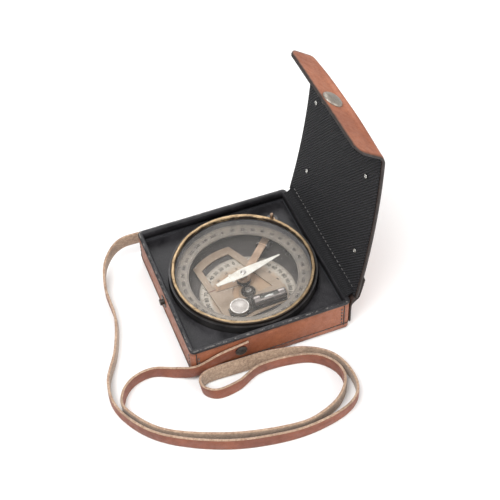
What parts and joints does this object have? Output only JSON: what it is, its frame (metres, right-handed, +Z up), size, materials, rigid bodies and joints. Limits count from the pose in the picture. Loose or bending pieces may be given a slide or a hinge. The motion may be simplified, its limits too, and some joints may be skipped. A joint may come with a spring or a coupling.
{
  "type": "clinometer compass in leather case",
  "caption": "Pocket clinometer compass with bezel, needle, tube and round levels, in a hinged leather case with snap flap and carrying strap.",
  "frame": {"origin": "centre of the case's flat bottom face, on the table", "axes": "+Z up, +X from the snap side towards the lid's hinge, +Y from the front wall to the back wall"},
  "size_m": [0.1747, 0.174, 0.1456],
  "materials": {
    "leather": "waxed",
    "strap_leather": "waxed",
    "black_cloth": "matt",
    "ribbed_cloth": "ribbed",
    "black_leatherette": "satin",
    "dark_metal": "worn",
    "snap_metal": "dull",
    "rivet_metal": "satin",
    "housing_black": "satin",
    "bezel_brass": "aged",
    "brass": "satin",
    "cover_glass": "polished",
    "wall_grey": "satin",
    "ring_silvered": "matt",
    "dial_dark": "matt",
    "scale_silvered": "matt",
    "steel": "satin",
    "spring_steel": "satin",
    "needle_white": "satin",
    "jewel_red": "polished",
    "level_metal": "aged",
    "level_glass": "polished",
    "level_white": "gloss"
  },
  "bodies": {
    "case": {"case_body": "leather", "case_lining": "black_cloth", "rim_binding": "black_leatherette", "insert_block": "black_leatherette", "hinge_strip": "leather", "snap_stud": "dark_metal", "stud_backing": "dark_metal", "front_rivet": "dark_metal", "back_rivet": "dark_metal", "strap": "strap_leather"},
    "lid": {"lid_leather": "leather", "lid_lining": "ribbed_cloth", "lid_rivets": "rivet_metal"},
    "flap": {"flap_leather": "leather", "flap_lining": "black_cloth", "snap_cap": "snap_metal", "snap_socket": "snap_metal"},
    "compass": {"housing": "housing_black", "bezel_ring": "bezel_brass", "glass": "cover_glass", "spacer_ring": "wall_grey", "graduated_ring": "ring_silvered", "floor_plate": "dial_dark", "scale_plate": "scale_silvered", "needle_post": "dark_metal", "pivot_point": "steel", "spindle_bush": "brass", "pin_bush": "brass", "pin_spring": "spring_steel", "lever_bracket": "dark_metal", "lever_pin": "steel", "plate_screws": "steel"},
    "push_pin": {"lift_pin": "brass"},
    "lock_lever": {"lift_lever": "brass"},
    "lock_sleeve": {"lift_sleeve": "brass"},
    "needle": {"needle_blade": "needle_white", "needle_cap": "level_metal", "needle_jewel": "jewel_red", "balance_weight": "brass"},
    "clinometer": {"arm_plate": "brass", "clino_spindle": "steel", "hub_boss": "dark_metal", "hub_screw": "steel", "level_bracket": "dark_metal", "level_tube": "level_metal", "level_vial": "level_glass", "level_caps": "dark_metal", "round_level_cup": "level_metal", "round_level_backing": "level_white", "round_level_glass": "level_glass", "setting_knob": "brass"}
  },
  "joints": [
    {"name": "lid_hinge", "type": "hinge", "parent": "case", "child": "lid", "pos_m": [0.0544, 0, 0.0256], "axis": [0, 1, 0], "range_deg": [-97, 76]},
    {"name": "flap_fold", "type": "hinge", "parent": "lid", "child": "flap", "pos_m": [0.06759, 0, 0.13299], "axis": [0, -1, 0], "range_deg": [-63, 27]},
    {"name": "compass_lift", "type": "slide", "parent": "case", "child": "compass", "axis": [0, 0, 1], "range_m": [0, 0.06]},
    {"name": "pin_push", "type": "slide", "parent": "compass", "child": "push_pin", "axis": [0, 0, -1], "range_m": [0, 0.0007], "stiffness_N_per_m": 600, "springref_m": -0.0008, "deforming": ["pin_spring"]},
    {"name": "lever_tilt", "type": "hinge", "parent": "compass", "child": "lock_lever", "pos_m": [0.02332, 0.02192, 0.0128], "axis": [-0.7071, 0.7071, 0], "range_deg": [0, 2.6]},
    {"name": "sleeve_lift", "type": "slide", "parent": "compass", "child": "lock_sleeve", "axis": [0, 0, 1], "range_m": [0, 0.0014]},
    {"name": "needle_turn", "type": "hinge", "parent": "lock_sleeve", "child": "needle", "pos_m": [0.0014, 0, 0.0176], "axis": [0, 0, 1], "continuous": true},
    {"name": "clinometer_swing", "type": "hinge", "parent": "compass", "child": "clinometer", "pos_m": [0.0014, -0.0082, 0.0072], "axis": [0, 0, 1], "range_deg": [-79, 45]}
  ],
  "couplings": [
    {"joint": "lever_tilt", "follows": "pin_push", "rad_per_m": 63.312},
    {"joint": "sleeve_lift", "follows": "pin_push", "ratio": 1.962}
  ]
}
